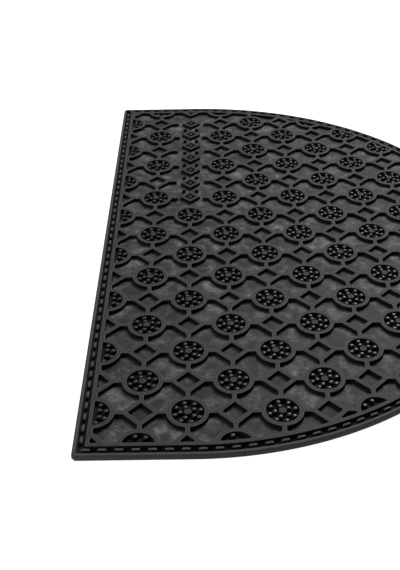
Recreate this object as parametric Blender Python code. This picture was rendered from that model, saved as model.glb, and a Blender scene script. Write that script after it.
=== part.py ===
"""Half round doormat, moulded in one piece of black rubber.

The mat lies flat with +Z up. Its origin is the middle of its box on the surface it lies on.
X runs from the straight back edge, at -X, to the round front edge, at +X, and Y runs along
the straight edge. All sizes are in metres.
"""
import math

import bmesh
import bpy

# The whole mat
WIDTH = 0.600
DEPTH = 0.400
THICKNESS = 0.0055
RELIEF = 0.0035
ARC_CENTRE_FROM_BACK = 0.0925
ARC_STEPS = 40
CORNER_CUT = 0.0027
SMALLEST_CUT = 0.0004
EDGE_CHAMFER = 0.001

# The border: a rim a little lower than the field, a channel inside it and a rib that holds
# the field
RIM = 0.0033
RIM_DROP = 0.0006
CHANNEL = 0.0063
INNER_RIB = 0.0033

# The field: rings and diamonds by turns on a square grid, joined by short straight ribs. The
# last rows at both ends stand a little in.
PITCH_X = 0.0372
PITCH_Y = 0.0366
COLUMNS = 10
ROWS = 16
RIB = 0.0038
RING_OUTER_RADIUS = 0.0170
RING_INNER_RADIUS = 0.0132
RING_SIDES = 12
ARC_SEGMENTS = 3
DIAMOND_OUTER = 0.0157
DIAMOND_INNER = 0.0102
LEAST_REACH = 0.0016
FIRST_COLUMN_FROM_BACK = 0.0126
MIDDLE_ROW_OFF = 0.0005
EVEN_ROWS = 5.5
END_ROWS_IN = 0.00032

# The plain panel, which takes up the field between two columns of sites, and its lozenges
PANEL_COLUMN = 2
PANEL_FIRST_ROW = 9
PANEL_LAST_ROW = 15
PANEL_HALF_AT_RINGS = 0.0139
PANEL_HALF_AT_DIAMONDS = 0.0160
PANEL_NEAR_STUB = 0.0183
LOZENGES = 7
LOZENGE_PITCH = 0.0300
LOZENGE_MIDDLE_ROW = 12.5
LOZENGE_HALF = 0.0108
LOZENGE_HOLE = 0.0062
KERNEL_HALF = 0.0026
STUD_RADIUS = 0.0019
STUD_SIDES = 6
STUD_OFFSET = 0.0070
ORNAMENT_ROOT = 0.0010

# How far a cutter stands above the mat
CLEAR = 0.002

# A cell's corners as columns to the right and rows up, anticlockwise from its lower left one
CORNERS = ((0, 0), (1, 0), (1, 1), (0, 1))

FLOOR = THICKNESS - RELIEF
RIM_TOP = THICKNESS - RIM_DROP
BACK = -DEPTH / 2
BORDER = RIM + CHANNEL + INNER_RIB
ARC_X = BACK + ARC_CENTRE_FROM_BACK
ARC_REACH = DEPTH - ARC_CENTRE_FROM_BACK
FIRST_COLUMN = BACK + FIRST_COLUMN_FROM_BACK


def empty_scene():
    for thing in list(bpy.data.objects):
        bpy.data.objects.remove(thing, do_unlink=True)


def half_round(inset):
    """The mat's outline moved in by inset, anticlockwise from above."""
    back = BACK + inset
    side = WIDTH / 2 - inset
    cut = max(CORNER_CUT - inset * (2 - math.sqrt(2)), SMALLEST_CUT)
    points = [(back, -side + cut), (back + cut, -side)]
    for step in range(ARC_STEPS + 1):
        turn = math.pi * (step / ARC_STEPS - 0.5)
        across, along = math.cos(turn), math.sin(turn)
        normal = math.hypot(WIDTH / 2 * across, ARC_REACH * along)
        points.append((
            ARC_X + ARC_REACH * across - inset * WIDTH / 2 * across / normal,
            WIDTH / 2 * along - inset * ARC_REACH * along / normal,
        ))
    points += [(back + cut, side), (back, side - cut)]
    return points


def reach_inside(point, fence):
    """How far a point lies inside a convex fence, or less than nothing outside it."""
    nearest = math.inf
    for start, end in zip(fence, fence[1:] + fence[:1]):
        run = (end[0] - start[0], end[1] - start[1])
        off = (point[0] - start[0], point[1] - start[1])
        nearest = min(nearest, (run[0] * off[1] - run[1] * off[0]) / math.hypot(*run))
    return nearest


def deepest_reach(outline, fence):
    """The furthest that an outline's corners, and the middles of its sides, lie inside."""
    middles = []
    for start, end in zip(outline, outline[1:] + outline[:1]):
        middles.append(((start[0] + end[0]) / 2, (start[1] + end[1]) / 2))
    return max(reach_inside(point, fence) for point in outline + middles)


def site(column, row):
    """The middle of a ring or a diamond."""
    from_middle = row - ROWS / 2
    drawn_in = END_ROWS_IN * max(abs(from_middle) - EVEN_ROWS, 0) ** 2
    y = MIDDLE_ROW_OFF + from_middle * PITCH_Y - math.copysign(drawn_in, from_middle)
    return FIRST_COLUMN + column * PITCH_X, y


def is_ring(column, row):
    return (column + row) % 2 == 1


def polygon(centre, radius, sides):
    points = []
    for step in range(sides):
        turn = 2 * math.pi * (step + 0.5) / sides
        points.append((centre[0] + radius * math.cos(turn), centre[1] + radius * math.sin(turn)))
    return points


def diamond(centre, half):
    x, y = centre
    return [(x + half, y), (x, y + half), (x - half, y), (x, y - half)]


def corner(column, row, quarter):
    """The stretch of a cell's edge that the site at one of its corners makes."""
    right, up = CORNERS[quarter]
    x, y = site(column + right, row + up)
    if is_ring(column + right, row + up):
        lean = math.asin(RIB / 2 / RING_OUTER_RADIUS)
        first = math.pi / 2 * (1 + quarter) - lean
        last = math.pi / 2 * quarter + lean
        points = []
        for step in range(ARC_SEGMENTS + 1):
            turn = first + (last - first) * step / ARC_SEGMENTS
            points.append((
                x + RING_OUTER_RADIUS * math.cos(turn),
                y + RING_OUTER_RADIUS * math.sin(turn),
            ))
        return points
    inward_x = 1 - 2 * right
    inward_y = 1 - 2 * up
    far = DIAMOND_OUTER - RIB / 2
    low = (x + inward_x * far, y + inward_y * RIB / 2)
    high = (x + inward_x * RIB / 2, y + inward_y * far)
    return [high, low] if right == up else [low, high]


def cell(column, row):
    """The pocket between four sites, anticlockwise from its lower left one."""
    return [point for quarter in range(len(CORNERS)) for point in corner(column, row, quarter)]


def panel():
    """The cells on both sides of the panel's column as one pocket, with the cut ribs' ends."""
    left = PANEL_COLUMN - 1
    right = PANEL_COLUMN
    near = PANEL_FIRST_ROW
    far = PANEL_LAST_ROW
    middle = site(PANEL_COLUMN, near)
    stub_end = middle[1] + PANEL_NEAR_STUB
    points = corner(left, near, 0) + corner(left, near, 1)
    points += [(middle[0] - RIB / 2, stub_end), (middle[0] + RIB / 2, stub_end)]
    points += corner(right, near, 0) + corner(right, near, 1) + corner(right, near, 2)
    for row in range(near + 1, far + 1):
        points += rib_end(row, 1)
        points += corner(right, row, 1) + corner(right, row, 2)
    points += corner(right, far, 3) + corner(left, far, 2) + corner(left, far, 3)
    for row in range(far, near, -1):
        points += corner(left, row, 0)
        points += rib_end(row, -1)
        points += corner(left, row - 1, 3)
    return points


def rib_end(row, side):
    """The end of a rib that the panel cuts short, on its right (1) or its left (-1)."""
    x, y = site(PANEL_COLUMN, row)
    half = PANEL_HALF_AT_RINGS if is_ring(PANEL_COLUMN + side, row) else PANEL_HALF_AT_DIAMONDS
    return [(x + side * half, y - side * RIB / 2), (x + side * half, y + side * RIB / 2)]


def is_taken(column, row, is_cell):
    """Whether a cell or a site of the pattern gives way to the panel."""
    near = PANEL_FIRST_ROW if is_cell else PANEL_FIRST_ROW + 1
    first = PANEL_COLUMN - 1 if is_cell else PANEL_COLUMN
    return first <= column <= PANEL_COLUMN and near <= row <= PANEL_LAST_ROW


def new_object(name, mesh_builder):
    mesh = bpy.data.meshes.new(name)
    thing = bpy.data.objects.new(name, mesh)
    bpy.context.scene.collection.objects.link(thing)
    shape = bmesh.new()
    mesh_builder(shape)
    bmesh.ops.recalc_face_normals(shape, faces=shape.faces)
    shape.to_mesh(mesh)
    shape.free()
    return thing


def add_prism(shape, outline, low, high):
    bottom = [shape.verts.new((x, y, low)) for x, y in outline]
    face = shape.faces.new(bottom)
    lifted = bmesh.ops.extrude_face_region(shape, geom=[face])
    for item in lifted["geom"]:
        if isinstance(item, bmesh.types.BMVert):
            item.co.z = high


def add_frame(shape, outer, inner, low, high):
    """A closed band between two outlines that have the same number of points."""
    loops = []
    for outline, height in ((outer, low), (outer, high), (inner, high), (inner, low)):
        loops.append([shape.verts.new((x, y, height)) for x, y in outline])
    count = len(outer)
    for first, second in zip(loops, loops[1:] + loops[:1]):
        for here in range(count):
            after = (here + 1) % count
            shape.faces.new((first[here], first[after], second[after], second[here]))


def build_plate(shape):
    step = RIM + CHANNEL / 2
    levels = (
        (0.0, 0.0),
        (0.0, RIM_TOP - EDGE_CHAMFER),
        (EDGE_CHAMFER, RIM_TOP),
        (step, RIM_TOP),
        (step, THICKNESS),
    )
    loops = []
    for inset, height in levels:
        loops.append([shape.verts.new((x, y, height)) for x, y in half_round(inset)])
    count = len(loops[0])
    for first, second in zip(loops, loops[1:]):
        for here in range(count):
            after = (here + 1) % count
            shape.faces.new((first[here], first[after], second[after], second[here]))
    shape.faces.new(list(reversed(loops[0])))
    shape.faces.new(loops[-1])


def build_pockets(shape):
    """Every pocket of the pattern that reaches well into the field, not yet trimmed to it."""
    field = half_round(BORDER)
    outlines = [panel()]
    for column in range(COLUMNS + 1):
        for row in range(-1, ROWS + 1):
            if not is_taken(column, row, True):
                outlines.append(cell(column, row))
            if is_taken(column, row, False):
                continue
            if is_ring(column, row):
                outlines.append(polygon(site(column, row), RING_INNER_RADIUS, RING_SIDES))
            else:
                outlines.append(diamond(site(column, row), DIAMOND_INNER))
    for outline in outlines:
        if deepest_reach(outline, field) > LEAST_REACH:
            add_prism(shape, outline, FLOOR, THICKNESS + CLEAR)


def build_field(shape):
    add_prism(shape, half_round(BORDER), -CLEAR, THICKNESS + 2 * CLEAR)


def build_channel(shape):
    add_frame(shape, half_round(RIM), half_round(RIM + CHANNEL), FLOOR, THICKNESS + CLEAR)


def build_ornament(shape):
    """A row of lozenges, each with a kernel, and a pair of studs between neighbours."""
    middle = site(PANEL_COLUMN, LOZENGE_MIDDLE_ROW)
    low = FLOOR - ORNAMENT_ROOT
    for place in range(LOZENGES):
        y = middle[1] + (place - (LOZENGES - 1) / 2) * LOZENGE_PITCH
        centre = (middle[0], y)
        add_frame(shape, diamond(centre, LOZENGE_HALF), diamond(centre, LOZENGE_HOLE),
                  low, THICKNESS)
        add_prism(shape, diamond(centre, KERNEL_HALF), low, THICKNESS)
        if place == LOZENGES - 1:
            continue
        for side in (-1, 1):
            stud = (middle[0] + side * STUD_OFFSET, y + LOZENGE_PITCH / 2)
            add_prism(shape, polygon(stud, STUD_RADIUS, STUD_SIDES), low, THICKNESS)


def cutter(name, mesh_builder):
    thing = new_object(name, mesh_builder)
    thing.hide_render = True
    thing.display_type = "WIRE"
    return thing


def combine(target, other, operation):
    step = target.modifiers.new(other.name, "BOOLEAN")
    step.operation = operation
    step.solver = "EXACT"
    step.object = other


def rubber():
    material = bpy.data.materials.new("black_rubber")
    material.use_nodes = True
    shader = material.node_tree.nodes["Principled BSDF"]
    shader.inputs["Base Color"].default_value = (0.045, 0.045, 0.045, 1.0)
    shader.inputs["Roughness"].default_value = 0.62
    shader.inputs["Metallic"].default_value = 0.0
    return material


empty_scene()
mat = new_object("mat", build_plate)
mat.data.materials.append(rubber())
pockets = cutter("pockets_cutter", build_pockets)
combine(pockets, cutter("field_guide", build_field), "INTERSECT")
combine(mat, pockets, "DIFFERENCE")
combine(mat, cutter("channel_cutter", build_channel), "DIFFERENCE")
combine(mat, cutter("ornament_guide", build_ornament), "UNION")
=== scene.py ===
"""The looks of a half round doormat, moulded in one piece of black rubber."""
import math

import bmesh
import bpy
from mathutils import Matrix, Vector
from mathutils.geometry import delaunay_2d_cdt


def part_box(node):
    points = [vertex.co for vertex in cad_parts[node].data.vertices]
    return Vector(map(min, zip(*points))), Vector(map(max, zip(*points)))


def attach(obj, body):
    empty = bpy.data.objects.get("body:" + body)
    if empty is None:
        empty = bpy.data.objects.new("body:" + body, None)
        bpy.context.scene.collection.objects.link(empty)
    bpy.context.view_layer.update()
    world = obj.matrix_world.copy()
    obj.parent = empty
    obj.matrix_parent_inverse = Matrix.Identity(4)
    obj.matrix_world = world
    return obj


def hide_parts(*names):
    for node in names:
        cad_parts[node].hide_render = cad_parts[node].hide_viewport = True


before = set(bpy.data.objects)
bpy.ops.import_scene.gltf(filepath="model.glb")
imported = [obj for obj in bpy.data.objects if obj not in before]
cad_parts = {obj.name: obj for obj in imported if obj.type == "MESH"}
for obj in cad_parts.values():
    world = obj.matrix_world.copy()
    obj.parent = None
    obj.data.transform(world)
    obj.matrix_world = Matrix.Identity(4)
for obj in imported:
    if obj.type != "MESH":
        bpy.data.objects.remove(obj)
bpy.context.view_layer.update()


# The rubber. One black compound is pressed into every part of the mat. It leaves the mould
# matt, with a fine grain and a cloudy grey bloom on its open floors. Its colour also carries a
# painted highlight along the eased top edges and painted shade on walls and in recesses.


def add_node(tree, kind, values=None, links=None, **settings):
    """A node with its settings, unlinked values by input and links by input."""
    node = tree.nodes.new(kind)
    for key, value in settings.items():
        setattr(node, key, value)
    for key, value in (values or {}).items():
        node.inputs[key].default_value = value
    for key, socket in (links or {}).items():
        tree.links.new(socket, node.inputs[key])
    return node


def math_node(tree, operation, first, second=None, third=None, clamp=False):
    """The result of a Math node on numbers or sockets."""
    node = add_node(tree, "ShaderNodeMath", operation=operation, use_clamp=clamp)
    for index, value in enumerate((first, second, third)):
        if value is None:
            continue
        if isinstance(value, (int, float)):
            node.inputs[index].default_value = value
        else:
            tree.links.new(value, node.inputs[index])
    return node.outputs[0]


def new_group(name, inputs, outputs):
    """A shader node group with float inputs by name and outputs given as (name, kind)."""
    tree = bpy.data.node_groups.new(name, "ShaderNodeTree")
    for label, value in inputs.items():
        socket = tree.interface.new_socket(label, in_out="INPUT", socket_type="NodeSocketFloat")
        socket.default_value = value
    for label, kind in outputs:
        tree.interface.new_socket(label, in_out="OUTPUT", socket_type=kind)
    return tree, tree.nodes.new("NodeGroupInput"), tree.nodes.new("NodeGroupOutput")


def build_grain_group():
    """The mould's fine grain and shallow flow marks, as a height in metres."""
    tree, given, result = new_group(
        "moulded_grain",
        {"Grain Size": 0.0006, "Grain Depth": 0.00003, "Flow Size": 0.006, "Flow Depth": 0.00005},
        [("Height", "NodeSocketFloat")],
    )
    place = tree.nodes.new("ShaderNodeTexCoord").outputs["Object"]
    total = None
    for name, detail in (("Grain", 2.0), ("Flow", 3.0)):
        scale = math_node(tree, "DIVIDE", 1.0, given.outputs[name + " Size"])
        noise = add_node(
            tree, "ShaderNodeTexNoise", {"Detail": detail}, {"Vector": place, "Scale": scale}
        )
        depth = math_node(tree, "MULTIPLY", noise.outputs["Fac"], given.outputs[name + " Depth"])
        total = depth if total is None else math_node(tree, "ADD", total, depth)
    tree.links.new(total, result.inputs["Height"])
    return tree


def build_bloom_and_painted_light_group():
    """Masks: open floors, clouds of bloom, eased edges for a painted highlight, places without
    painted shade.
    """
    tree, given, result = new_group(
        "rubber_bloom",
        {"Floor Height": 0.0020, "Top Height": 0.0055, "Cloud Size": 0.035, "Patch Size": 0.009,
         "Streak Width": 0.0011},
        [("Floor", "NodeSocketFloat"), ("Cloud", "NodeSocketFloat"), ("Edge", "NodeSocketFloat"),
         ("Unshaded", "NodeSocketFloat")],
    )
    place = tree.nodes.new("ShaderNodeTexCoord").outputs["Object"]
    height = add_node(tree, "ShaderNodeSeparateXYZ", links={"Vector": place}).outputs["Z"]
    facing = tree.nodes.new("ShaderNodeNewGeometry").outputs["Normal"]
    upward = add_node(tree, "ShaderNodeSeparateXYZ", links={"Vector": facing}).outputs["Z"]
    is_open = add_node(tree, "ShaderNodeAttribute", attribute_name="open").outputs["Fac"]

    rise = add_node(
        tree, "ShaderNodeMapRange", links={
            "Value": height, "From Min": given.outputs["Floor Height"],
            "From Max": given.outputs["Top Height"]},
    ).outputs[0]
    level = add_node(
        tree, "ShaderNodeMapRange", {"From Min": 0.80, "From Max": 0.99}, {"Value": upward}
    ).outputs[0]
    floor = math_node(tree, "MULTIPLY", math_node(tree, "SUBTRACT", 1.0, rise), level)
    tree.links.new(math_node(tree, "MULTIPLY", floor, is_open), result.inputs["Floor"])

    turned = add_node(tree, "ShaderNodeVectorRotate", {"Angle": 0.6}, {"Vector": place},
                      rotation_type="Z_AXIS")
    drawn = add_node(tree, "ShaderNodeVectorMath", {1: (0.24, 1.0, 1.0)},
                     {0: turned.outputs[0]}, operation="MULTIPLY")
    layers = (
        (place, "Cloud Size", 3.0, (0.38, 0.62)),
        (place, "Patch Size", 7.0, (0.40, 0.64)),
        (drawn.outputs[0], "Streak Width", 3.0, (0.42, 0.70)),
    )
    clouds = []
    for where, size, detail, span in layers:
        scale = math_node(tree, "DIVIDE", 1.0, given.outputs[size])
        noise = add_node(
            tree, "ShaderNodeTexNoise", {"Detail": detail, "Roughness": 0.74},
            {"Vector": where, "Scale": scale},
        )
        clouds.append(add_node(
            tree, "ShaderNodeMapRange", {"From Min": span[0], "From Max": span[1]},
            {"Value": noise.outputs["Fac"]},
        ).outputs[0])
    streaky = math_node(tree, "MULTIPLY_ADD", clouds[2], 1.0, 0.5)
    both = math_node(tree, "MULTIPLY_ADD", clouds[1], 0.55, math_node(
        tree, "MULTIPLY", clouds[0], 0.45))
    both = math_node(tree, "MULTIPLY", both, both)
    both = math_node(tree, "MULTIPLY", both, streaky, clamp=True)
    tree.links.new(both, result.inputs["Cloud"])

    # Painted highlight: tilted faces near the top, the eased edges, and the faces marked for it
    high_up = add_node(
        tree, "ShaderNodeMapRange", {"From Min": 0.55, "From Max": 0.75}, {"Value": rise}
    ).outputs[0]
    lean = add_node(
        tree, "ShaderNodeMapRange", {"From Min": 0.20, "From Max": 1.0}, {"Value": upward}
    ).outputs[0]
    bell = math_node(tree, "MULTIPLY", lean, math_node(tree, "SUBTRACT", 4.0, math_node(
        tree, "MULTIPLY", lean, 4.0)))
    bell = math_node(tree, "MULTIPLY", bell, high_up)
    by_edge = add_node(tree, "ShaderNodeAttribute", attribute_name="highlit_edge").outputs["Fac"]
    tree.links.new(math_node(tree, "MAXIMUM", bell, by_edge), result.inputs["Edge"])
    # Places spared painted shade: open faces and level faces near the top; the rest is darkened
    on_top = math_node(tree, "MULTIPLY", high_up, lean)
    tree.links.new(math_node(tree, "MAXIMUM", is_open, on_top), result.inputs["Unshaded"])
    return tree


GRAIN = build_grain_group()
BLOOM_AND_PAINTED_LIGHT = build_bloom_and_painted_light_group()

# The base tone is multiplied by these as painted shade on walls and in recesses and as a
# painted highlight along the eased edges. Over it lie a painted edge highlight, a dull, a floor
# and a bloom layer, each with its share and its tone. The bloom adds to the roughness, and the
# painted shade keeps only a small share of the shine.
PAINTED_SHADE_TONE = 0.35
EDGE_HIGHLIGHT_TONE = 2.3
EDGE_HIGHLIGHT_SHARE = 0.7
DULL_SHARE = 0.30
DULL_TONE = (0.015, 0.015, 0.015)
FLOOR_SHARE = 0.8
FLOOR_TONE = (0.012, 0.012, 0.012)
BLOOM_SHARE = 0.72
BLOOM_TONE = (0.238, 0.231, 0.245)
BLOOM_MATT = 0.14
PAINTED_SHADE_SHINE = 0.2


def shade(tree, below, factor, tone):
    """The colour so far, turned towards a tone by a mask."""
    node = add_node(
        tree, "ShaderNodeMix", {"B": (*tone, 1.0)}, {"Factor": factor}, data_type="RGBA"
    )
    if isinstance(below, tuple):
        node.inputs["A"].default_value = (*below, 1.0)
    else:
        tree.links.new(below, node.inputs["A"])
    return node.outputs["Result"]


def rubber(name, tone, roughness, shine=0.10, grain_depth=0.00003):
    """A black rubber of one base tone, how matt it is and how strongly it shines."""
    material = bpy.data.materials.new(name)
    material.use_nodes = True
    tree = material.node_tree
    shader = tree.nodes["Principled BSDF"]
    lie = add_node(tree, "ShaderNodeGroup", node_tree=BLOOM_AND_PAINTED_LIGHT).outputs
    # Painted shade: walls, ring floors and other sheltered faces take a darker tone
    colour = shade(
        tree, tuple(channel * PAINTED_SHADE_TONE for channel in tone), lie["Unshaded"], tone
    )
    dull = math_node(tree, "SUBTRACT", 1.0, lie["Cloud"])
    layers = (
        # painted highlight along the eased edges
        (lie["Edge"], EDGE_HIGHLIGHT_SHARE, tuple(channel * EDGE_HIGHLIGHT_TONE for channel in tone)),
        (math_node(tree, "MULTIPLY", dull, lie["Unshaded"]), DULL_SHARE, DULL_TONE),
        (lie["Floor"], FLOOR_SHARE, FLOOR_TONE),
        (math_node(tree, "MULTIPLY", lie["Cloud"], lie["Floor"]), BLOOM_SHARE, BLOOM_TONE),
    )
    for mask, share, above in layers:
        colour = shade(tree, colour, math_node(tree, "MULTIPLY", mask, share), above)
    tree.links.new(colour, shader.inputs["Base Color"])
    # Painted shade also takes most of the shine from walls and recesses
    gleam = math_node(
        tree, "MULTIPLY_ADD", lie["Unshaded"], (1 - PAINTED_SHADE_SHINE) * shine,
        PAINTED_SHADE_SHINE * shine,
    )
    tree.links.new(gleam, shader.inputs["Specular IOR Level"])
    matt = math_node(tree, "MULTIPLY_ADD", lie["Cloud"], BLOOM_MATT, roughness)
    tree.links.new(matt, shader.inputs["Roughness"])
    grain = add_node(tree, "ShaderNodeGroup", {"Grain Depth": grain_depth}, node_tree=GRAIN)
    bump = add_node(
        tree, "ShaderNodeBump", {"Strength": 1.0, "Distance": 1.0},
        {"Height": grain.outputs["Height"]},
    )
    tree.links.new(bump.outputs["Normal"], shader.inputs["Normal"])
    return material


black_rubber = rubber("black_rubber", (0.034, 0.034, 0.0345), 0.58)


# The mat itself. A compression mould presses the D-shaped plate, its channelled border and
# the lattice of rings and diamonds in one go, so it is one skin: flat below, and above cut
# into pockets whose walls have a little draft, rounded rims and a small fillet at the floor.
low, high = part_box("mat")
DEPTH = high.x - low.x
WIDTH = high.y - low.y
TOP = high.z
RELIEF = 0.0035
FLOOR = TOP - RELIEF
ARC_CENTRE_FROM_BACK = 0.0925
ARC_STEPS = 150
CORNER_CUT = 0.0027
RIM = 0.0033
RIM_TOP = TOP - 0.0006
CHANNEL = 0.0063
INNER_RIB = 0.0033
BORDER = RIM + CHANNEL + INNER_RIB

PITCH_X = 0.0372
PITCH_Y = 0.0366
COLUMNS = 10
ROWS = 16
RIB = 0.0038
RING_OUTER_RADIUS = 0.0170
RING_INNER_RADIUS = 0.0132
DIAMOND_OUTER = 0.0157
DIAMOND_INNER = 0.0102
LEAST_REACH = 0.0016
FIRST_COLUMN_FROM_BACK = 0.0126
MIDDLE_ROW_OFF = 0.0005
EVEN_ROWS = 5.5
END_ROWS_IN = 0.00032
ARC_SEGMENTS = 9
RING_SIDES = 40

PANEL_COLUMN = 2
PANEL_FIRST_ROW = 9
PANEL_LAST_ROW = 15
PANEL_HALF_AT_RINGS = 0.0139
PANEL_HALF_AT_DIAMONDS = 0.0160
PANEL_NEAR_STUB = 0.0183
CORNERS = ((0, 0), (1, 0), (1, 1), (0, 1))

# A pocket's wall from the flat top down to the floor: how far it stands out from the
# pocket's outline, towards the rib, and how far it is below the top. It starts with a flat
# band along the rib's edge, which carries a painted highlight.
WALL = (
    (0.00090, 0.0),
    (0.00034, 0.0),
    (0.00014, 0.00005),
    (0.00002, 0.00018),
    (-0.00004, 0.00040),
    (-0.00022, RELIEF - 0.00042),
    (-0.00034, RELIEF - 0.00014),
    (-0.00064, RELIEF),
)

# The mat's outer side from the underside up to the rim's top: inset and height
SIDE = (
    (0.00025, 0.0),
    (0.00004, 0.00012),
    (0.0, 0.00040),
    (0.00010, RIM_TOP - 0.00125),
    (0.00024, RIM_TOP - 0.00065),
    (0.00060, RIM_TOP - 0.00018),
    (0.00115, RIM_TOP),
)

# The depth of the eased edge between the rim's top, which is lower, and the channel's wall
RIM_LIP = 0.0004

# What is too small to mould in a trimmed pocket: points closer than a crumb, sides shorter
# than the shortest, and the end of a tip that turns sharply, where it is narrower than this
CRUMB = 0.0002
SHORTEST_SIDE = 0.0003
TIP_WIDTH = 0.0016
SHARP_TURN = math.radians(115)

# Corners that turn more than this are rounded
CLEAR_TURN = math.radians(25)
CORNER_RADIUS = 0.0003

# How open a diamond's floor is, against 1 for the field's pockets and 0 for a ring's. A less
# open floor gets less bloom and more painted shade.
DIAMOND_OPENNESS = 0.7


def half_round(inset):
    """The mat's outline moved in by inset, anticlockwise from above."""
    back = low.x + inset
    side = WIDTH / 2 - inset
    reach = DEPTH - ARC_CENTRE_FROM_BACK
    cut = max(CORNER_CUT - inset * (2 - math.sqrt(2)), CORNER_CUT / 5)
    points = []
    for step in range(ARC_STEPS + 1):
        turn = math.pi * (step / ARC_STEPS - 0.5)
        across, along = math.cos(turn), math.sin(turn)
        normal = math.hypot(WIDTH / 2 * across, reach * along)
        points.append(Vector((
            low.x + ARC_CENTRE_FROM_BACK + (reach - inset * WIDTH / 2 / normal) * across,
            (WIDTH / 2 - inset * reach / normal) * along,
        )))
    points += [Vector((back + cut, side)), Vector((back, side - cut))]
    points += [Vector((back, cut - side)), Vector((back + cut, -side))]
    return points


def site(column, row):
    """The middle of a ring or a diamond."""
    from_middle = row - ROWS / 2
    drawn_in = END_ROWS_IN * max(abs(from_middle) - EVEN_ROWS, 0) ** 2
    y = MIDDLE_ROW_OFF + from_middle * PITCH_Y - math.copysign(drawn_in, from_middle)
    return Vector((low.x + FIRST_COLUMN_FROM_BACK + column * PITCH_X, y))


def is_ring(column, row):
    return (column + row) % 2 == 1


def circle(centre, radius, sides):
    turns = [2 * math.pi * (step + 0.5) / sides for step in range(sides)]
    return [centre + radius * Vector((math.cos(turn), math.sin(turn))) for turn in turns]


def diamond(centre, half):
    spokes = ((half, 0), (0, half), (-half, 0), (0, -half))
    return [centre + Vector(spoke) for spoke in spokes]


def corner(column, row, quarter):
    """The stretch of a cell's edge that the site at one of its corners makes."""
    right, up = CORNERS[quarter]
    middle = site(column + right, row + up)
    if is_ring(column + right, row + up):
        lean = math.asin(RIB / 2 / RING_OUTER_RADIUS)
        first = math.pi / 2 * (1 + quarter) - lean
        last = math.pi / 2 * quarter + lean
        turns = [first + (last - first) * step / ARC_SEGMENTS for step in range(ARC_SEGMENTS + 1)]
        spokes = [Vector((math.cos(turn), math.sin(turn))) for turn in turns]
        return [middle + RING_OUTER_RADIUS * spoke for spoke in spokes]
    inward = Vector((1 - 2 * right, 1 - 2 * up))
    far = DIAMOND_OUTER - RIB / 2
    beside = middle + Vector((inward.x * far, inward.y * RIB / 2))
    above = middle + Vector((inward.x * RIB / 2, inward.y * far))
    return [above, beside] if right == up else [beside, above]


def cell(column, row):
    """The pocket between four sites, anticlockwise from its lower left one."""
    return [point for quarter in range(len(CORNERS)) for point in corner(column, row, quarter)]


def rib_end(row, side):
    """The end of a rib that the panel cuts short, on its right (1) or its left (-1)."""
    middle = site(PANEL_COLUMN, row)
    half = PANEL_HALF_AT_RINGS if is_ring(PANEL_COLUMN + side, row) else PANEL_HALF_AT_DIAMONDS
    return [middle + side * Vector((half, along)) for along in (-RIB / 2, RIB / 2)]


def panel():
    """The cells on both sides of the panel's column as one pocket, with the cut ribs' ends."""
    left, right = PANEL_COLUMN - 1, PANEL_COLUMN
    near, far = PANEL_FIRST_ROW, PANEL_LAST_ROW
    stub = site(PANEL_COLUMN, near) + Vector((0, PANEL_NEAR_STUB))
    points = corner(left, near, 0) + corner(left, near, 1)
    points += [stub - Vector((RIB / 2, 0)), stub + Vector((RIB / 2, 0))]
    points += corner(right, near, 0) + corner(right, near, 1) + corner(right, near, 2)
    for row in range(near + 1, far + 1):
        points += rib_end(row, 1) + corner(right, row, 1) + corner(right, row, 2)
    points += corner(right, far, 3) + corner(left, far, 2) + corner(left, far, 3)
    for row in range(far, near, -1):
        points += corner(left, row, 0) + rib_end(row, -1) + corner(left, row - 1, 3)
    return points


def is_taken(column, row, is_cell):
    """Whether a cell or a site of the pattern gives way to the panel."""
    near = PANEL_FIRST_ROW if is_cell else PANEL_FIRST_ROW + 1
    first = PANEL_COLUMN - 1 if is_cell else PANEL_COLUMN
    return first <= column <= PANEL_COLUMN and near <= row <= PANEL_LAST_ROW


def reach_inside(point, fence):
    """How far a point lies inside a convex fence, or less than nothing outside it."""
    nearest = math.inf
    for start, end in zip(fence, fence[1:] + fence[:1]):
        nearest = min(nearest, (end - start).cross(point - start) / (end - start).length)
    return nearest


def deepest_reach(outline, fence):
    """The furthest that an outline's corners, and the middles of its sides, lie inside."""
    middles = [(start + end) / 2 for start, end in zip(outline, outline[1:] + outline[:1])]
    return max(reach_inside(point, fence) for point in outline + middles)


def trimmed(outline, fence):
    """What a convex fence leaves of an outline, as a list of outlines."""
    flat = bmesh.new()
    flat.faces.new([flat.verts.new((*point, 0)) for point in outline])
    for start, end in zip(fence, fence[1:] + fence[:1]):
        run = end - start
        if all(run.cross(vertex.co.xy - start) >= 0 for vertex in flat.verts):
            continue
        everything = flat.verts[:] + flat.edges[:] + flat.faces[:]
        bmesh.ops.bisect_plane(
            flat, geom=everything, plane_co=(*start, 0), plane_no=(run.y, -run.x, 0),
            clear_outer=True, dist=1e-7,
        )
    outlines = [[vertex.co.xy.copy() for vertex in face.verts] for face in flat.faces]
    flat.free()
    return outlines


def cut_back(points, length):
    """An open line of points without its first stretch of the given length."""
    for here, (start, end) in enumerate(zip(points, points[1:])):
        run = (end - start).length
        if run > length:
            return [start + (end - start) * (length / run)] + points[here + 1:]
        length -= run
    return points[-1:]


def turn_at(points, here):
    """The angle by which a closed outline turns left at one of its points."""
    before = points[here] - points[here - 1]
    after = points[(here + 1) % len(points)] - points[here]
    return math.atan2(before.cross(after), before.dot(after))


def without_tips(points, width):
    """The outline with its sharp tips cut off where they grow narrower than a width."""
    for _ in range(len(points)):
        sharp = [here for here in range(len(points)) if turn_at(points, here) > SHARP_TURN]
        if not sharp:
            break
        half_opening = (math.pi - turn_at(points, sharp[0])) / 2
        length = width / 2 / math.sin(half_opening)
        line = points[sharp[0]:] + points[:sharp[0] + 1]
        line = cut_back(line, length)[::-1]
        points = cut_back(line, length)[::-1]
    return points


def without_crumbs(points, gap):
    """The outline without points that lie closer than a gap to the one before."""
    return [point for here, point in enumerate(points) if (point - points[here - 1]).length > gap]


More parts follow.
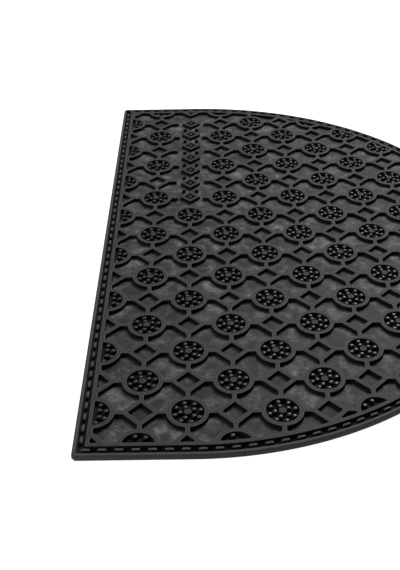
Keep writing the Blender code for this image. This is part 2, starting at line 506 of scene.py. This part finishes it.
def spread(points, distance):
    """A closed anticlockwise outline moved outwards by a distance."""
    moved = []
    for here, point in enumerate(points):
        before = (point - points[here - 1]).normalized()
        after = (points[(here + 1) % len(points)] - point).normalized()
        outward = Vector((before.y + after.y, -before.x - after.x)).normalized()
        along = max(outward.dot(Vector((before.y, -before.x))), 0.6)
        moved.append(point + outward * (distance / along))
    return moved


def loop_at(points, distance):
    """The outline moved outwards, with three points round each clear corner that turns left."""
    moved = spread(points, distance)
    rounded = []
    for here, point in enumerate(moved):
        turn = turn_at(points, here)
        if turn < CLEAR_TURN:
            rounded.append(point)
            continue
        before = moved[here - 1] - point
        after = moved[(here + 1) % len(moved)] - point
        back = min(CORNER_RADIUS * math.tan(turn / 2), before.length * 0.4, after.length * 0.4)
        first = point + before.normalized() * back
        last = point + after.normalized() * back
        rounded += [first, point * 0.5 + (first + last) * 0.25, last]
    return rounded


def pocket_outlines(fence):
    """Every pocket of the field as a trimmed outline, and its openness, which sets bloom and
    painted shade.
    """
    raw = [(panel(), 1.0)]
    for column in range(COLUMNS + 1):
        for row in range(-1, ROWS + 1):
            if not is_taken(column, row, True):
                raw.append((cell(column, row), 1.0))
            if is_taken(column, row, False):
                continue
            middle = site(column, row)
            if is_ring(column, row):
                raw.append((circle(middle, RING_INNER_RADIUS, RING_SIDES), 0.0))
            else:
                raw.append((diamond(middle, DIAMOND_INNER), DIAMOND_OPENNESS))
    outlines = []
    for outline, openness in raw:
        if deepest_reach(outline, fence) < LEAST_REACH:
            continue
        for piece in trimmed(outline, fence):
            piece = without_tips(without_crumbs(piece, CRUMB), TIP_WIDTH)
            piece = without_crumbs(piece, SHORTEST_SIDE)
            if len(piece) > 2 and deepest_reach(piece, fence) > LEAST_REACH * 0.9:
                outlines.append((piece, openness))
    return outlines


def add_loop(shape, points, height):
    return [shape.verts.new((*point, height)) for point in points]


def bridge(shape, first, second):
    """A smooth band of faces between two loops that have the same number of points."""
    band = []
    for here in range(len(first)):
        after = (here + 1) % len(first)
        face = shape.faces.new((first[here], first[after], second[after], second[here]))
        face.smooth = True
        band.append(face)
    return band


def fill_between(shape, outer, holes):
    """Flat triangles between an outer loop and the loops of the holes in it."""
    vertices = outer + [vertex for hole in holes for vertex in hole]
    faces = []
    first = 0
    for loop in [outer] + holes:
        faces.append(list(range(first, first + len(loop))))
        first += len(loop)
    spots = [vertex.co.xy for vertex in vertices]
    _, _, triangles, sources, _, owners = delaunay_2d_cdt(spots, [], faces, 0, 1e-9)
    for triangle, owner in zip(triangles, owners):
        if list(owner) == [0]:
            flat = shape.faces.new([vertices[sources[index][0]] for index in triangle])
            flat.smooth = False


def finish_shape(shape, name, material):
    """A mesh object at the origin with its faces pointing out."""
    bmesh.ops.recalc_face_normals(shape, faces=shape.faces)
    mesh = bpy.data.meshes.new(name)
    shape.to_mesh(mesh)
    shape.free()
    mesh.materials.append(material)
    thing = bpy.data.objects.new(name, mesh)
    bpy.context.scene.collection.objects.link(thing)
    return thing


def build_mat():
    """One closed skin: the outer side, the channel's walls, the pockets and the flat top."""
    shape = bmesh.new()
    # Per face: its openness, which sets bloom and painted shade, and whether it carries a painted
    # edge highlight
    opened = shape.faces.layers.float.new("open")
    highlit_edge = shape.faces.layers.float.new("highlit_edge")
    side = [add_loop(shape, half_round(inset), height) for inset, height in SIDE]
    for first, second in zip(side, side[1:]):
        bridge(shape, first, second)
    shape.faces.new(side[0][::-1])
    for face in shape.faces:
        face[opened] = 1.0
    outer = []
    for out, down in WALL:
        height = min(TOP - down, RIM_TOP - min(down, RIM_LIP))
        outer.append(add_loop(shape, half_round(RIM - out), height))
    inner = [add_loop(shape, half_round(RIM + CHANNEL + out), TOP - down) for out, down in WALL]
    ladder = [side[-1]] + outer + inner[::-1]
    for first, second in zip(ladder, ladder[1:]):
        for face in bridge(shape, first, second):
            # The eased top edges of the rim and the inner rib carry a painted highlight
            face[highlit_edge] = float(first in (side[-1], outer[0], inner[1]))
    rims = []
    for outline, openness in pocket_outlines(half_round(BORDER)):
        wall = [add_loop(shape, loop_at(outline, out), TOP - down) for out, down in WALL]
        for first, second in zip(wall, wall[1:]):
            for face in bridge(shape, first, second):
                # The flat band at each pocket's edge carries a painted highlight
                face[highlit_edge] = float(first is wall[0])
        floor = shape.faces.new(wall[-1])
        # A pocket's openness sets its bloom and painted shade; a ring's floor, at 0, gets full
        # painted shade and no bloom
        floor[opened] = openness
        rims.append(wall[0])
    fill_between(shape, inner[0], rims)
    return finish_shape(shape, "moulded_mat", black_rubber)


moulded_mat = build_mat()
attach(moulded_mat, "root")
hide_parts("mat")


# The studs. Each ring holds a flat-topped stud in the middle, five pins round it and eight
# more by its wall, all moulded with the mat. The rubber fills blind holes in the mould, so
# the pins end in domes a little below the ribs.
PIN_RADIUS = 0.0020
PIN_EDGE = 0.0012
PIN_TOP = TOP - 0.0003
PIN_SIDES = 12
CENTRE_RADIUS = 0.0031
CENTRE_EDGE = 0.0003
CENTRE_SIDES = 24
STUD_ROOT = 0.0004
PIN_CIRCLES = ((5, 0.0060, math.radians(36)), (8, 0.0105, math.radians(15)))
PIN_CLEARANCE = 0.2 * PIN_RADIUS


def new_geometry_tree(name, sizes, counts):
    """A Geometry Nodes tree with sizes, whole numbers and the rubber as named inputs."""
    tree = bpy.data.node_groups.new(name, "GeometryNodeTree")
    face = tree.interface
    face.new_socket("Geometry", in_out="INPUT", socket_type="NodeSocketGeometry")
    for kind, values in (("NodeSocketFloat", sizes), ("NodeSocketInt", counts)):
        for label, value in values.items():
            face.new_socket(label, in_out="INPUT", socket_type=kind).default_value = value
    face.new_socket("Rubber", in_out="INPUT", socket_type="NodeSocketMaterial")
    face.new_socket("Geometry", in_out="OUTPUT", socket_type="NodeSocketGeometry")
    return tree, tree.nodes.new("NodeGroupInput").outputs


def finish_tree(tree, given, placed):
    """Make the copies real geometry, shaded smooth and of the rubber the tree is given."""
    real = add_node(tree, "GeometryNodeRealizeInstances", links={"Geometry": placed.outputs[0]})
    smooth = add_node(tree, "GeometryNodeSetShadeSmooth", links={"Geometry": real.outputs[0]})
    coated = add_node(
        tree, "GeometryNodeSetMaterial",
        links={"Geometry": smooth.outputs[0], "Material": given["Rubber"]},
    )
    add_node(tree, "NodeGroupOutput", links={0: coated.outputs[0]})


def build_stud_tree():
    """Geometry Nodes that put a drafted stud with a rounded top edge on every point."""
    tree, given = new_geometry_tree(
        "moulded_studs", {"Radius": 0.0019, "Height": 0.003, "Edge": 0.0008, "Draft": 0.12},
        {"Sides": 10},
    )

    # The levels of a cylinder of unit size become the foot and three steps round the edge
    stud = add_node(
        tree, "GeometryNodeMeshCylinder", {"Side Segments": 4, "Radius": 1.0, "Depth": 4.0},
        {"Vertices": given["Sides"]}, fill_type="NGON",
    )
    spot = tree.nodes.new("GeometryNodeInputPosition").outputs[0]
    place = add_node(tree, "ShaderNodeSeparateXYZ", links={"Vector": spot}).outputs
    level = math_node(tree, "ADD", place["Z"], 1.0)
    turn = math_node(tree, "MULTIPLY", math_node(tree, "MAXIMUM", level, 0.0), math.pi / 6)
    inward = math_node(tree, "SUBTRACT", 1.0, math_node(tree, "COSINE", turn))
    below = math_node(tree, "SUBTRACT", 1.0, math_node(tree, "SINE", turn))
    is_foot = math_node(tree, "LESS_THAN", level, -0.5)
    flare = math_node(tree, "MULTIPLY", math_node(tree, "MULTIPLY", given["Draft"], is_foot),
                      given["Radius"])
    radius = math_node(tree, "SUBTRACT", given["Radius"], math_node(
        tree, "MULTIPLY", inward, given["Edge"]))
    radius = math_node(tree, "ADD", radius, flare)
    top = math_node(tree, "SUBTRACT", given["Height"], math_node(
        tree, "MULTIPLY", below, given["Edge"]))
    height = math_node(tree, "MULTIPLY", top, math_node(tree, "SUBTRACT", 1.0, is_foot))
    moved = add_node(
        tree, "ShaderNodeCombineXYZ",
        links={"X": math_node(tree, "MULTIPLY", place["X"], radius),
               "Y": math_node(tree, "MULTIPLY", place["Y"], radius), "Z": height},
    )
    shaped = add_node(
        tree, "GeometryNodeSetPosition",
        links={"Geometry": stud.outputs["Mesh"], "Position": moved.outputs[0]},
    )
    placed = add_node(
        tree, "GeometryNodeInstanceOnPoints",
        links={"Points": given["Geometry"], "Instance": shaped.outputs[0]},
    )
    finish_tree(tree, given, placed)
    return tree


def grown_by_nodes(name, base, tree, **values):
    """A plain mesh object from a base object's data and a Geometry Nodes tree, with values."""
    source = bpy.data.objects.new(name + "_base", base)
    bpy.context.scene.collection.objects.link(source)
    step = source.modifiers.new(name, "NODES")
    step.node_group = tree
    for item in tree.interface.items_tree:
        key = item.name.replace(" ", "_")
        if item.in_out == "INPUT" and key in values:
            step[item.identifier] = values[key]
    source.update_tag()
    view_layer = bpy.context.view_layer
    view_layer.update()
    seen = source.evaluated_get(bpy.context.evaluated_depsgraph_get())
    mesh = bpy.data.meshes.new_from_object(seen)
    mesh.name = name
    bpy.data.objects.remove(source, do_unlink=True)
    thing = bpy.data.objects.new(name, mesh)
    bpy.context.scene.collection.objects.link(thing)
    flats = thing.modifiers.new("flats", "WEIGHTED_NORMAL")
    flats.weight = 90
    return thing


def points_mesh(name, spots, height):
    mesh = bpy.data.meshes.new(name)
    mesh.from_pydata([(*spot, height) for spot in spots], [], [])
    return mesh


def ring_sites(fence, reach):
    """The middles of the rings, with those whose middle the border covers."""
    for column in range(COLUMNS + 1):
        for row in range(ROWS + 1):
            if not is_ring(column, row) or is_taken(column, row, False):
                continue
            if reach_inside(site(column, row), fence) > -reach:
                yield site(column, row)


def stud_spots():
    """Centre studs and pins that clear the border's inner rib, fewer in rings it covers."""
    fence = half_round(BORDER)
    centres = []
    pins = []
    for middle in ring_sites(fence, RING_INNER_RADIUS):
        depth = reach_inside(middle, fence)
        if depth > CENTRE_RADIUS:
            centres.append(middle)
        clear = PIN_CLEARANCE + max(-depth, 0)
        for count, radius, first in PIN_CIRCLES:
            for step in range(count):
                turn = first + 2 * math.pi * step / count
                pin = middle + radius * Vector((math.cos(turn), math.sin(turn)))
                if reach_inside(pin, fence) > clear:
                    pins.append(pin)
    return centres, pins


# The pins' rubber is painted darker than the mat's, as painted shade, and is glossier
pin_rubber = rubber("pin_rubber", (0.020, 0.020, 0.0203), 0.34, 0.25, 0.00001)
stud_tree = build_stud_tree()
centre_spots, pin_spots = stud_spots()
stud_foot = FLOOR - STUD_ROOT
ring_pins = grown_by_nodes(
    "ring_pins", points_mesh("pin_spots", pin_spots, stud_foot), stud_tree,
    Radius=PIN_RADIUS, Height=PIN_TOP - stud_foot, Edge=PIN_EDGE, Draft=0.16, Sides=PIN_SIDES,
    Rubber=pin_rubber,
)
centre_studs = grown_by_nodes(
    "centre_studs", points_mesh("centre_spots", centre_spots, stud_foot), stud_tree,
    Radius=CENTRE_RADIUS, Height=TOP - stud_foot, Edge=CENTRE_EDGE, Draft=0.08,
    Sides=CENTRE_SIDES, Rubber=black_rubber,
)
for studs in (ring_pins, centre_studs):
    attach(studs, "root")


# The bars in the border. Short flat-topped bars stand end to end in rows along the middle of
# the channel: one row at the straight edge and one round the curve. They are moulded too.
BACK_BARS = 47
BACK_BAR_PITCH = 0.0123
ROUND_BAR_PITCH = 0.0126
ROUND_BARS_START = 0.0105
BAR_LENGTH = 0.0066
BAR_WIDTH = 0.0023
BAR_TOP = TOP - 0.0002

# How much a bar tapers, as shares of its size: in width at its ends and at its top, in length
# at its top, and in height at its edges. The shelf spreads its flat top towards the edges.
END_TAPER = 0.2
TOP_TAPER = 0.15
TOP_SHORTENING = 0.06
EDGE_SAG = 0.10
SHELF = 0.9


def build_bar_tree():
    """Geometry Nodes that set flat-topped bars along a curve, end to end with gaps."""
    tree, given = new_geometry_tree(
        "channel_bars", {"Length": 0.0066, "Width": 0.0022, "Height": 0.003}, {"Count": 100}
    )
    size = add_node(
        tree, "ShaderNodeCombineXYZ",
        links={"X": given["Length"], "Y": given["Width"], "Z": given["Height"]},
    ).outputs[0]
    block = add_node(
        tree, "GeometryNodeMeshCube", {"Vertices X": 7, "Vertices Y": 5, "Vertices Z": 4},
        {"Size": size},
    )
    spot = tree.nodes.new("GeometryNodeInputPosition").outputs[0]
    half = add_node(tree, "ShaderNodeVectorMath", {3: 0.5}, {0: size}, operation="SCALE")
    shares = add_node(
        tree, "ShaderNodeVectorMath", links={0: spot, 1: half.outputs[0]}, operation="DIVIDE"
    )
    part = add_node(tree, "ShaderNodeSeparateXYZ", links={"Vector": shares.outputs[0]}).outputs
    square = {axis: math_node(tree, "MULTIPLY", part[axis], part[axis]) for axis in "XY"}
    end = math_node(tree, "MULTIPLY", square["X"], square["X"])
    end = math_node(tree, "MULTIPLY", end, square["X"])
    narrow = math_node(tree, "MULTIPLY_ADD", end, -END_TAPER, 1.0)
    up = math_node(tree, "MULTIPLY_ADD", part["Z"], 0.5, 0.5)
    up = math_node(tree, "MULTIPLY", up, up)
    slim = math_node(tree, "MULTIPLY_ADD", up, -TOP_TAPER, 1.0)
    shelf = math_node(tree, "MULTIPLY_ADD", square["Y"], -SHELF, 1 + SHELF)
    across = math_node(tree, "MULTIPLY", part["Y"], shelf)
    edge = math_node(tree, "MULTIPLY", square["Y"], square["Y"])
    sag = math_node(tree, "ADD", math_node(tree, "MULTIPLY", edge, EDGE_SAG),
                    math_node(tree, "MULTIPLY", end, EDGE_SAG))
    tall = math_node(tree, "SUBTRACT", 1.0, math_node(tree, "MULTIPLY", sag, up))
    base = math_node(tree, "ADD", part["Z"], 1.0)
    z = math_node(tree, "SUBTRACT", math_node(tree, "MULTIPLY", base, tall), 1.0)
    shrink_x = math_node(tree, "MULTIPLY_ADD", up, -TOP_SHORTENING, 1.0)
    bent = add_node(
        tree, "ShaderNodeCombineXYZ",
        links={"X": math_node(tree, "MULTIPLY", part["X"], shrink_x),
               "Y": math_node(tree, "MULTIPLY", across, math_node(
                   tree, "MULTIPLY", narrow, slim)),
               "Z": z},
    )
    position = add_node(
        tree, "ShaderNodeVectorMath", links={0: bent.outputs[0], 1: half.outputs[0]},
        operation="MULTIPLY",
    )
    shaped = add_node(
        tree, "GeometryNodeSetPosition",
        links={"Geometry": block.outputs["Mesh"], "Position": position.outputs[0]},
    )
    raised = add_node(
        tree, "ShaderNodeCombineXYZ", links={"Z": math_node(tree, "MULTIPLY", given["Height"], 0.5)}
    )
    standing = add_node(
        tree, "GeometryNodeTransform",
        links={"Geometry": shaped.outputs[0], "Translation": raised.outputs[0]},
    )
    along = add_node(
        tree, "GeometryNodeCurveToPoints", mode="COUNT",
        links={"Curve": given["Geometry"], "Count": given["Count"]},
    )
    turned = add_node(
        tree, "FunctionNodeAlignRotationToVector", axis="X", pivot_axis="Z",
        links={"Vector": along.outputs["Tangent"]},
    )
    placed = add_node(
        tree, "GeometryNodeInstanceOnPoints",
        links={"Points": along.outputs["Points"], "Instance": standing.outputs[0],
               "Rotation": turned.outputs[0]},
    )
    finish_tree(tree, given, placed)
    return tree


def channel_line(name, points, height):
    """An open line through the points, at one height."""
    curve = bpy.data.curves.new(name, "CURVE")
    curve.dimensions = "3D"
    line = curve.splines.new("POLY")
    line.points.add(len(points) - 1)
    for knot, point in zip(line.points, points):
        knot.co = (*point, height, 1.0)
    return curve


def build_bars(name, points, count):
    """A row of evenly spaced bars on a line, from its first point to its last."""
    foot = FLOOR - STUD_ROOT
    return grown_by_nodes(
        name, channel_line(name + "_line", points, foot), bar_tree,
        Length=BAR_LENGTH, Width=BAR_WIDTH, Height=BAR_TOP - foot, Count=count,
        Rubber=bar_rubber,
    )


def round_line():
    """The middle of the channel round the curved edge, from one back corner to the other."""
    inset = RIM + CHANNEL / 2
    start = low.x + ROUND_BARS_START
    bend = half_round(inset)[:ARC_STEPS + 1]
    return [Vector((start, low.y + inset))] + bend + [Vector((start, high.y - inset))]


# The bars' rubber is painted paler than the mat's, a painted light on their tops
bar_rubber = rubber("bar_rubber", (0.062, 0.062, 0.0625), 0.58)
bar_tree = build_bar_tree()
back_reach = (BACK_BARS - 1) / 2 * BACK_BAR_PITCH
back_line = [Vector((low.x + RIM + CHANNEL / 2, side * back_reach)) for side in (-1, 1)]
back_bars = build_bars("back_bars", back_line, BACK_BARS)
curved = round_line()
round_length = sum((after - before).length for before, after in zip(curved, curved[1:]))
round_bars = build_bars("round_bars", curved, round(round_length / ROUND_BAR_PITCH) + 1)
for bars in (back_bars, round_bars):
    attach(bars, "root")


# The ornament on the panel. A plain stretch of the field carries a row of raised lozenges,
# each with a kernel in it, and a pair of studs between neighbours, all as high as the ribs.
LOZENGES = 7
LOZENGE_PITCH = 0.0300
LOZENGE_MIDDLE_ROW = 12.5
LOZENGE_HALF = 0.0108
LOZENGE_HOLE = 0.0062
KERNEL_HALF = 0.0026
STUD_RADIUS = 0.0019
STUD_OFFSET = 0.0070

# A raised edge from its foot up to the flat top: how far it stands out and how far down
RAISED = (
    (0.00040, RELIEF + 0.0004),
    (0.00022, RELIEF - 0.0003),
    (0.0, 0.00045),
    (-0.00006, 0.00018),
    (-0.00020, 0.00004),
    (-0.00042, 0.0),
)


def build_ornament():
    """The row of lozenges with their kernels."""
    shape = bmesh.new()
    middle = site(PANEL_COLUMN, LOZENGE_MIDDLE_ROW)
    for place in range(LOZENGES):
        along = (place - (LOZENGES - 1) / 2) * LOZENGE_PITCH
        centre = middle + Vector((0, along))
        frame_out = diamond(centre, LOZENGE_HALF)
        frame_in = diamond(centre, LOZENGE_HOLE)
        outside = [add_loop(shape, loop_at(frame_out, out), TOP - down) for out, down in RAISED]
        inside = [add_loop(shape, loop_at(frame_in, -out), TOP - down) for out, down in RAISED]
        ladder = outside + inside[::-1] + outside[:1]
        for first, second in zip(ladder, ladder[1:]):
            bridge(shape, first, second)
        kernel = diamond(centre, KERNEL_HALF)
        walls = [add_loop(shape, loop_at(kernel, out), TOP - down) for out, down in RAISED]
        for first, second in zip(walls, walls[1:]):
            bridge(shape, first, second)
        shape.faces.new(walls[-1])
        shape.faces.new(walls[0][::-1])
    return finish_shape(shape, "lozenge_row", black_rubber)


def ornament_studs():
    """The pairs of studs between neighbouring lozenges."""
    middle = site(PANEL_COLUMN, LOZENGE_MIDDLE_ROW)
    spots = []
    for place in range(LOZENGES - 1):
        along = (place - (LOZENGES - 2) / 2) * LOZENGE_PITCH
        spots += [middle + Vector((side * STUD_OFFSET, along)) for side in (-1, 1)]
    return grown_by_nodes(
        "lozenge_studs", points_mesh("lozenge_stud_spots", spots, stud_foot), stud_tree,
        Radius=STUD_RADIUS, Height=TOP - stud_foot, Edge=CENTRE_EDGE, Draft=0.10, Sides=16,
        Rubber=black_rubber,
    )


lozenge_row = build_ornament()
lozenge_studs = ornament_studs()
for raised in (lozenge_row, lozenge_studs):
    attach(raised, "root")


# The stage. A white floor a hair below the mat, which lets a view from below through, one
# large soft light behind the mat and to its right, two weaker ones from the left, and a room
# that gives little light and looks white.
FLOOR_HALF = 20.0
FLOOR_DROP = 0.0002
ROOM_LIGHT = 0.06


def build_floor():
    mesh = bpy.data.meshes.new("studio_floor")
    turns = ((-1, -1), (1, -1), (1, 1), (-1, 1))
    corners = [(x * FLOOR_HALF, y * FLOOR_HALF, -FLOOR_DROP) for x, y in turns]
    mesh.from_pydata(corners, [], [(0, 1, 2, 3)])
    material = bpy.data.materials.new("white_floor")
    material.use_nodes = True
    tree = material.node_tree
    shader = tree.nodes["Principled BSDF"]
    shader.inputs["Base Color"].default_value = (0.60, 0.60, 0.60, 1.0)
    shader.inputs["Roughness"].default_value = 0.9
    shader.inputs["Specular IOR Level"].default_value = 0.0
    shader.inputs["Emission Color"].default_value = (1.0, 1.0, 1.0, 1.0)
    shader.inputs["Emission Strength"].default_value = 0.9
    clear = tree.nodes.new("ShaderNodeBsdfTransparent")
    side = tree.nodes.new("ShaderNodeNewGeometry")
    either = add_node(
        tree, "ShaderNodeMixShader",
        links={0: side.outputs["Backfacing"], 1: shader.outputs[0], 2: clear.outputs[0]},
    )
    tree.links.new(either.outputs[0], tree.nodes["Material Output"].inputs["Surface"])
    mesh.materials.append(material)
    thing = bpy.data.objects.new("studio_floor", mesh)
    bpy.context.scene.collection.objects.link(thing)
    return thing


def add_softbox(name, place, size, power):
    """A soft light that faces the mat's middle."""
    light = bpy.data.lights.new(name, "AREA")
    light.shape = "RECTANGLE"
    light.size, light.size_y = size
    light.energy = power
    thing = bpy.data.objects.new(name, light)
    bpy.context.scene.collection.objects.link(thing)
    thing.location = place
    aim = -Vector(place)
    thing.rotation_euler = aim.to_track_quat("-Z", "Y").to_euler()
    return thing


build_floor()
add_softbox("key_softbox", (0.72, 1.60, 1.90), (1.2, 1.2), 84)
add_softbox("left_softbox", (-1.1, 1.35, 1.75), (1.2, 1.2), 10)
add_softbox("left_fill", (-1.8, -0.9, 1.0), (1.2, 1.2), 16)
world = bpy.data.worlds.new("pale_room")
world.use_nodes = True
backdrop = world.node_tree.nodes["Background"]
backdrop.inputs["Color"].default_value = (1.0, 1.0, 1.0, 1.0)
seen = world.node_tree.nodes.new("ShaderNodeLightPath").outputs["Is Camera Ray"]
strength = math_node(world.node_tree, "MULTIPLY_ADD", seen, 1 - ROOM_LIGHT, ROOM_LIGHT)
world.node_tree.links.new(strength, backdrop.inputs["Strength"])
bpy.context.scene.world = world
bpy.context.scene.view_settings.view_transform = "Standard"


# The camera. It stands past the near end of the straight edge and looks along it, down at
# a steep angle, as in the photograph.
CAMERA_PLACE = Vector((-0.0974, -0.7383, 0.4851))
LOOK_DOWN = math.radians(36.43)
LOOK_LEFT = math.radians(0.48)
ROLL = math.radians(-1.14)
LENS = 54.3
FILM_HEIGHT = 36.0


def add_camera():
    lens = bpy.data.cameras.new("photo_camera")
    lens.sensor_fit = "VERTICAL"
    lens.sensor_height = FILM_HEIGHT
    lens.lens = LENS
    lens.clip_start = 0.01
    thing = bpy.data.objects.new("photo_camera", lens)
    bpy.context.scene.collection.objects.link(thing)
    upright = Matrix.Rotation(math.pi / 2 - LOOK_DOWN, 4, "X")
    turned = Matrix.Rotation(LOOK_LEFT, 4, "Z") @ upright @ Matrix.Rotation(ROLL, 4, "Z")
    thing.matrix_world = Matrix.Translation(CAMERA_PLACE) @ turned
    bpy.context.scene.camera = thing


add_camera()
